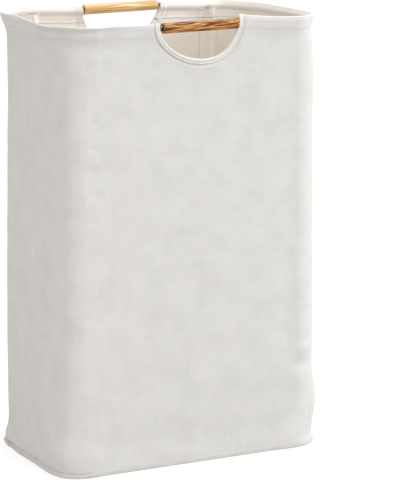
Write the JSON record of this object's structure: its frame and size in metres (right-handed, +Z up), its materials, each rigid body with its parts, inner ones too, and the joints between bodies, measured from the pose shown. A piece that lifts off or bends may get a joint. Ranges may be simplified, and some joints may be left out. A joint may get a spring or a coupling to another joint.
{
  "type": "laundry hamper",
  "caption": "Slim folding laundry hamper of lined canvas on a wire rim, with wooden grips over half-moon hand openings; the rods lift out and the rim drops flat.",
  "frame": {"origin": "middle of the underside of the base, on the floor", "axes": "+X along the long side to the right seen from the front, +Y from the front face to the back face, +Z up out of the mouth"},
  "size_m": [0.423, 0.261, 0.64],
  "materials": {
    "canvas": "matt plain-weave cotton and linen canvas",
    "lining_cloth": "smooth coated lining cloth",
    "cotton_tape": "folded cotton binding tape",
    "hardboard": "smooth hardboard",
    "rim_steel": "drawn wire",
    "front_grip_wood": "turned, stained and lacquered, strong grain",
    "back_grip_wood": "turned and lacquered, fine grain",
    "glass_fibre": "drawn glass-fibre rod",
    "tip_plastic": "moulded natural nylon cap"
  },
  "bodies": {
    "base": {"base_panel": "canvas", "base_board": "hardboard", "base_binding": "canvas", "floor_lining": "lining_cloth", "front_wall": "canvas", "back_wall": "canvas", "front_lining": "lining_cloth", "back_lining": "lining_cloth", "left_seam_tape": "cotton_tape", "right_seam_tape": "cotton_tape", "rod_casing_front_left": "lining_cloth", "rod_casing_front_right": "lining_cloth", "rod_casing_back_left": "lining_cloth", "rod_casing_back_right": "lining_cloth"},
    "rim": {"rim_wire": "rim_steel", "wire_ferrule": "rim_steel", "hem_front_left": "canvas", "hem_front_right": "canvas", "hem_back_left": "canvas", "hem_back_right": "canvas", "front_hand_binding": "cotton_tape", "back_hand_binding": "cotton_tape", "rod_loop_front_left": "lining_cloth", "rod_loop_front_right": "lining_cloth", "rod_loop_back_left": "lining_cloth", "rod_loop_back_right": "lining_cloth"},
    "grip_front": {"front_grip": "front_grip_wood"},
    "grip_back": {"back_grip": "back_grip_wood"},
    "support_rod_front_left": {"rod_front_left": "glass_fibre", "rod_foot_front_left": "tip_plastic", "rod_head_front_left": "tip_plastic"},
    "support_rod_front_right": {"rod_front_right": "glass_fibre", "rod_foot_front_right": "tip_plastic", "rod_head_front_right": "tip_plastic"},
    "support_rod_back_left": {"rod_back_left": "glass_fibre", "rod_foot_back_left": "tip_plastic", "rod_head_back_left": "tip_plastic"},
    "support_rod_back_right": {"rod_back_right": "glass_fibre", "rod_foot_back_right": "tip_plastic", "rod_head_back_right": "tip_plastic"}
  },
  "joints": [
    {"name": "rim_drop", "type": "slide", "parent": "base", "child": "rim", "axis": [0, 0, -1], "range_m": [0, 0.56], "deforming": ["front_wall", "back_wall", "front_lining", "back_lining", "left_seam_tape", "right_seam_tape", "rod_casing_front_left", "rod_casing_front_right", "rod_casing_back_left", "rod_casing_back_right"]},
    {"name": "front_grip_spin", "type": "hinge", "parent": "rim", "child": "grip_front", "pos_m": [0, -0.12116, 0.6313], "axis": [1, 0, 0], "continuous": true},
    {"name": "back_grip_spin", "type": "hinge", "parent": "rim", "child": "grip_back", "pos_m": [0, 0.12116, 0.6313], "axis": [1, 0, 0], "continuous": true},
    {"name": "rod_lift_front_left", "type": "slide", "parent": "base", "child": "support_rod_front_left", "axis": [0, 0, 1], "range_m": [0, 0.63]},
    {"name": "rod_lift_front_right", "type": "slide", "parent": "base", "child": "support_rod_front_right", "axis": [0, 0, 1], "range_m": [0, 0.63]},
    {"name": "rod_lift_back_left", "type": "slide", "parent": "base", "child": "support_rod_back_left", "axis": [0, 0, 1], "range_m": [0, 0.63]},
    {"name": "rod_lift_back_right", "type": "slide", "parent": "base", "child": "support_rod_back_right", "axis": [0, 0, 1], "range_m": [0, 0.63]}
  ]
}
